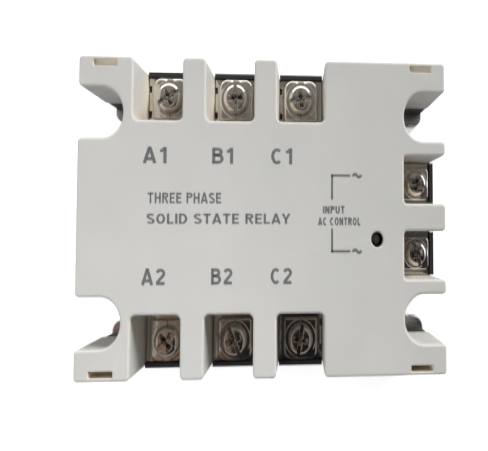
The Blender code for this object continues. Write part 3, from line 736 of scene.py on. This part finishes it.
def build_print(face):
    """Terminal names, two lines of generic title, and the input's bracket and words."""
    bm = bmesh.new()
    for name in POWER:
        x, half = NAME_PLACES[name[0]]
        y = NAME_Y[name[1]]
        add_text(bm, name.upper(), x - half, y - NAME_HALF_H, x + half, y + NAME_HALF_H, face, WIDE_GAP)
    for text, place_on_face in TITLES.items():
        add_text(bm, text, *place_on_face, face)
    for text, place_on_face in INPUT_TITLES.items():
        add_text(bm, text, *place_on_face, face, WIDE_GAP, BOLD_STROKE)
    for y, end in BRACKET_SPANS:
        add_line(bm, BRACKET_X, y, BRACKET_X + BRACKET_ARM, y, face, LINE_WIDTH)
        add_line(bm, BRACKET_X, y, BRACKET_X, end, face, LINE_WIDTH)
        tilde = (TILDE_X[0], y - TILDE_HALF_H, TILDE_X[1], y + TILDE_HALF_H)
        add_text(bm, "~", *tilde, face, weight=BOLD_STROKE)
    marks = place("print_marks", mesh_from("print_marks", bm))
    marks.data.materials.append(LOOKS["ink"])
    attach(marks, "body")


# ---------------------------------------------------------------- terminals


def threaded_rows(radius, z0, z1, pitch):
    """Rings of a right-hand thread from z0 up to z1."""
    rows = []
    steps = int((z1 - z0) / pitch * 8)
    for step in range(steps + 1):
        z = z0 + (z1 - z0) * step / steps
        fade = min(1.0, (z1 - z) / pitch, (z - z0) / pitch + 0.2)
        spots = []
        for i in range(THREAD_COUNT):
            angle = math.tau * i / THREAD_COUNT
            phase = (z / pitch - angle / math.tau) % 1.0
            crest = 1 - abs(2 * phase - 1)
            r = radius - THREAD_DEPTH * (1 - min(1.0, 1.25 * crest)) * fade - 0.25 * (1 - fade)
            spots.append(Vector((r * math.cos(angle), r * math.sin(angle), z)))
        rows.append(spots)
    return rows


def screw_mesh(name, node, clamp_node, sizes):
    """Combination pan-head screw about its axis, with a rolled thread."""
    low, high = box_mm(node)
    r = (high.x - low.x) / 2
    under = box_mm(clamp_node)[1].z + HEAD_GAP
    top = high.z
    shank = sizes["shank_r"]
    bm = bmesh.new()
    rows = threaded_rows(shank, low.z, under - 0.3, sizes["pitch"])
    rows.append(ring(shank - 0.1, under, THREAD_COUNT))
    add_loft(bm, rows)
    shaft = mesh_from(name + "_shaft", bm, 50)

    head = bmesh.new()
    side = top - under
    rows = [ring(r - 0.25, under), ring(r - 0.06, under + 0.08), ring(r, under + 0.25)]
    dome, brim = DOME_SHARE * side, BRIM_SHARE * side
    rows.append(ring(r, top - dome - brim))
    for step in range(1, 9):
        bend = math.pi / 2 * step / 8
        radius = r * (0.70 + 0.30 * math.cos(bend))
        rows.append(ring(radius, top - (dome + brim) * (1 - math.sin(bend)) - 0.03 * (1 - step / 8)))
    rows.append(ring(r * 0.35, top))
    add_loft(head, rows)
    slot = bmesh.new()
    corners = rectangle(-r - 1, -DRIVE_SLOT_HALF, r + 1, DRIVE_SLOT_HALF)
    lofted(slot, corners, [(0.04, top - DRIVE_SLOT_DEPTH), (0, top + 1)])
    cross = bmesh.new()
    arm, half = CROSS_REACH * r, CROSS_HALF
    plus = [
        (half, -arm), (half, -half), (arm, -half), (arm, half), (half, half), (half, arm),
        (-half, arm), (-half, half), (-arm, half), (-arm, -half), (-half, -half), (-half, -arm),
    ]
    levels = ((0.42, 0.8, top - CROSS_DEPTH), (1.12, 1.3, top + 0.4))

    def widened(value, scale, wide):
        return value * scale * (wide if abs(value) <= half else 1)

    add_loft(cross, [
        [Vector((widened(x, scale, wide), widened(y, scale, wide), z)) for x, y in plus]
        for scale, wide, z in levels
    ])
    head_mesh = carved(name + "_head", head, [slot, cross], 0.07, 2)
    joined = bmesh.new()
    joined.from_mesh(shaft)
    joined.from_mesh(head_mesh)
    mesh = bpy.data.meshes.new(name)
    joined.to_mesh(mesh)
    joined.free()
    mesh.shade_smooth()
    mesh.set_sharp_from_angle(angle=math.radians(38))
    return mesh


def clamp_mesh(name, node, sizes):
    """Pressed clamp plate: rolled rim, raised round pad, tongue to the outer edge, slit to the inner one."""
    outer_r, hole_r = sizes["outer_r"], sizes["hole_r"]
    low, high = box_mm(node)
    half = (high.x - low.x) / 2
    face = high.z - PAD_RISE
    pad_r = half * PAD_SHARE
    corners = [(-half, -half, 0.9), (half, -half, 0.9), (half, half, outer_r), (-half, half, outer_r)]
    bm = bmesh.new()
    levels = [(0.12, low.z), (0.0, low.z + 0.12), *rounded_edge(face, sizes["rim_r"], 7)]
    lofted(bm, corners, levels)
    pad = bmesh.new()
    foot_r = pad_r + PAD_EDGE
    edge = ((foot_r, low.z + 0.3), (foot_r, face), (pad_r + 0.14, high.z - 0.04), (pad_r, high.z))
    add_loft(pad, [ring(radius, z) for radius, z in edge])
    tongue = bmesh.new()
    corners = rectangle(-TONGUE_HALF, pad_r - 1, TONGUE_HALF, half - 0.3, 0.3)
    lofted(tongue, corners, [(0, low.z + 0.3), (0, face), (0.12, high.z - 0.02)])
    hole = bmesh.new()
    add_loft(hole, [ring(hole_r, low.z - 1), ring(hole_r, high.z + 1)])
    slit = bmesh.new()
    lofted(slit, rectangle(-SLIT_HALF, -half - 1, SLIT_HALF, -hole_r), [(0, high.z - 0.6), (0, high.z + 1)])
    cuts = [hole, slit]
    for y in (-half * CHANNEL_SHARE, half * CHANNEL_SHARE):
        channel = bmesh.new()
        corners = rectangle(-half - 1, y - CHANNEL_HALF, half + 1, y + CHANNEL_HALF)
        lofted(channel, corners, [(0, low.z - 1), (0, low.z + 0.15)])
        cuts.append(channel)
    return carved(name, bm, cuts, 0.06, 2, adds=[pad, tongue])


def build_terminals():
    """Fine screw, clamp plate, lug and nut at each terminal."""
    kinds = (
        ("power", POWER, POWER_SIZES, "_"),
        ("input", INPUT, INPUT_SIZES, "_in"),
    )
    for kind, names, sizes, tag in kinds:
        first = names[0]
        screw = screw_mesh(kind + "_screw", f"{kind}_screw_{first}", f"{kind}_clamp_{first}", sizes)
        clamp = clamp_mesh(kind + "_clamp", f"{kind}_clamp_{first}", sizes)
        for name in names:
            spot = centre_mm(f"{kind}_screw_{name}")
            if kind == "power":
                turn = 0.0 if spot.y > 0 else math.pi
            else:
                turn = -math.pi / 2
            node = f"{kind}_screw_{name}"
            piece = place(node + "_fine", screw, (spot.x, spot.y, 0), turn + math.radians(SCREW_ANGLES[name]))
            even_normals(piece)
            finish_piece(piece, LOOKS["steel"], "screw" + tag + name, node)
            node = f"{kind}_clamp_{name}"
            piece = place(node + "_fine", clamp, (spot.x, spot.y, 0), turn)
            even_normals(piece)
            finish_piece(piece, LOOKS["steel"], "clamp" + tag + name, node)
            node = f"{kind}_lug_{name}"
            finish_piece(refined(node, 0.12), LOOKS["lug"], "body", node)
            node = f"{kind}_nut_{name}"
            finish_piece(refined(node, 0.1), LOOKS["steel"], "body", node)


# ---------------------------------------------------------------- case and inside


def build_case():
    """Black frame and aluminium plate, with every edge broken."""
    finish_piece(refined("terminal_frame", 0.18), LOOKS["frame"], "body", "terminal_frame")
    finish_piece(refined("base_plate", 0.15), LOOKS["plate"], "body", "base_plate")
    finish_piece(refined("status_led", 0.08), LOOKS["lens"], "body", "status_led")


def dress_inside():
    """Materials for the pieces under the cover."""
    looks = {
        "ceramic_substrate": "ceramic",
        "thyristor": "silicon",
        "potting_compound": "potting",
        "circuit_board": "board",
        "optocoupler": "chip",
        "input_rectifier": "chip",
        "snubber_capacitor": "film",
    }
    for node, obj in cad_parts.items():
        for start, look in looks.items():
            if node.startswith(start):
                obj.data.materials.clear()
                obj.data.materials.append(LOOKS[look])


# ---------------------------------------------------------------- stage


def build_floor():
    bm = bmesh.new()
    bmesh.ops.create_grid(bm, x_segments=1, y_segments=1, size=4000)
    floor = place("floor", mesh_from("floor", bm), (0, 0, FLOOR_Z))
    floor.data.materials.append(floor_card())


def add_area(name, location, side, energy, colour):
    """Soft square light aimed at the middle of the relay, hidden from the camera and from reflections."""
    data = bpy.data.lights.new(name, "AREA")
    data.shape = "RECTANGLE"
    data.size = data.size_y = side
    data.energy = energy
    data.color = colour
    obj = bpy.data.objects.new(name, data)
    obj.location = location
    aim = Vector((0, 0, 0.02)) - Vector(location)
    obj.rotation_euler = aim.to_track_quat("-Z", "Y").to_euler()
    obj.visible_glossy = obj.visible_camera = False
    bpy.context.scene.collection.objects.link(obj)


def build_light():
    """Bright room beyond the upper side, a dim one beyond the lower, and a low key light at the upper right.

    Metal is shown a darker ceiling and a brighter horizon than plastic is. The camera sees plain white.
    """
    world = bpy.data.worlds.new("studio")
    bpy.context.scene.world = world
    world.use_nodes = True
    tree = world.node_tree
    nodes, links = tree.nodes, tree.links
    background = nodes["Background"]
    split = nodes.new("ShaderNodeSeparateXYZ")
    links.new(nodes.new("ShaderNodeTexCoord").outputs["Generated"], split.inputs[0])

    def ramp(axis, *ends):
        node = nodes.new("ShaderNodeMapRange")
        node.interpolation_type = "SMOOTHSTEP"
        for key, value in zip(("From Min", "From Max", "To Min", "To Max"), ends):
            node.inputs[key].default_value = value
        links.new(split.outputs[axis], node.inputs["Value"])
        return node.outputs["Result"]

    def blend(factor, a, b):
        node = nodes.new("ShaderNodeMix")
        node.data_type = "RGBA"
        links.new(factor, node.inputs["Factor"])
        for socket, value in ((node.inputs[6], a), (node.inputs[7], b)):
            if isinstance(value, tuple):
                socket.default_value = (*value, 1.0)
            else:
                links.new(value, socket)
        return node.outputs[2]

    ceiling = blend(ramp("X", -0.26, -0.08, 1.0, 0.0), (0.010, 0.010, 0.012), (0.24, 0.165, 0.125))
    ceiling = blend(ramp("Y", -0.14, 0.30, 0.0, 1.0), ceiling, (0.23, 0.224, 0.214))
    horizon = blend(ramp("Y", -0.40, 0.30, 0.0, 1.0), (0.05, 0.047, 0.045), (2.7, 2.65, 2.55))
    mirrored = blend(ramp("Z", 0.38, 0.82, 0.0, 1.0), horizon, ceiling)
    lit = blend(ramp("Y", -0.5, 0.5, 0.0, 1.0), (0.17, 0.17, 0.172), (0.46, 0.458, 0.45))
    path = nodes.new("ShaderNodeLightPath")
    colour = blend(path.outputs["Is Glossy Ray"], lit, mirrored)
    colour = blend(path.outputs["Is Camera Ray"], colour, (1.0, 1.0, 1.0))
    links.new(colour, background.inputs["Color"])
    for name, light in LIGHTS.items():
        add_area(name, *light)


def drive_at_photo_view(camera, marker, owner, path, near, away):
    """Uses one value while the camera looks as the marker does and another from any other angle."""
    driver = owner.driver_add(path).driver
    driver.type = "SCRIPTED"
    turn = driver.variables.new()
    turn.name = "turn"
    turn.type = "ROTATION_DIFF"
    turn.targets[0].id = camera
    turn.targets[1].id = marker
    driver.expression = f"{near} if turn < {SAME_VIEW} else {away}"


def build_camera():
    """Close camera above the face. Its shift and stretch apply to this one view only."""
    scene = bpy.context.scene
    data = bpy.data.cameras.new("photo_camera")
    data.sensor_width = 36
    data.lens = CAMERA_LENS
    data.clip_start = 0.01
    camera = bpy.data.objects.new("photo_camera", data)
    marker = bpy.data.objects.new("photo_view", None)
    for obj in (camera, marker):
        scene.collection.objects.link(obj)
        obj.location = Vector(CAMERA_PLACE) * MM
        obj.rotation_euler = [math.radians(angle) for angle in CAMERA_TILT]
    scene.camera = camera

    scene.use_nodes = True
    tree = scene.node_tree
    tree.nodes.clear()
    layers = tree.nodes.new("CompositorNodeRLayers")
    stretch = tree.nodes.new("CompositorNodeScale")
    output = tree.nodes.new("CompositorNodeComposite")
    tree.links.new(layers.outputs["Image"], stretch.inputs["Image"])
    tree.links.new(stretch.outputs["Image"], output.inputs["Image"])
    drive_at_photo_view(camera, marker, data, "shift_x", CAMERA_SHIFT[0], 0)
    drive_at_photo_view(camera, marker, data, "shift_y", CAMERA_SHIFT[1], 0)
    drive_at_photo_view(camera, marker, stretch.inputs["Y"], "default_value", STRETCH, 1)
    scene.view_settings.view_transform = "Standard"


def main():
    face = build_cover()
    build_print(face)
    build_terminals()
    build_case()
    dress_inside()
    build_floor()
    build_light()
    build_camera()


main()
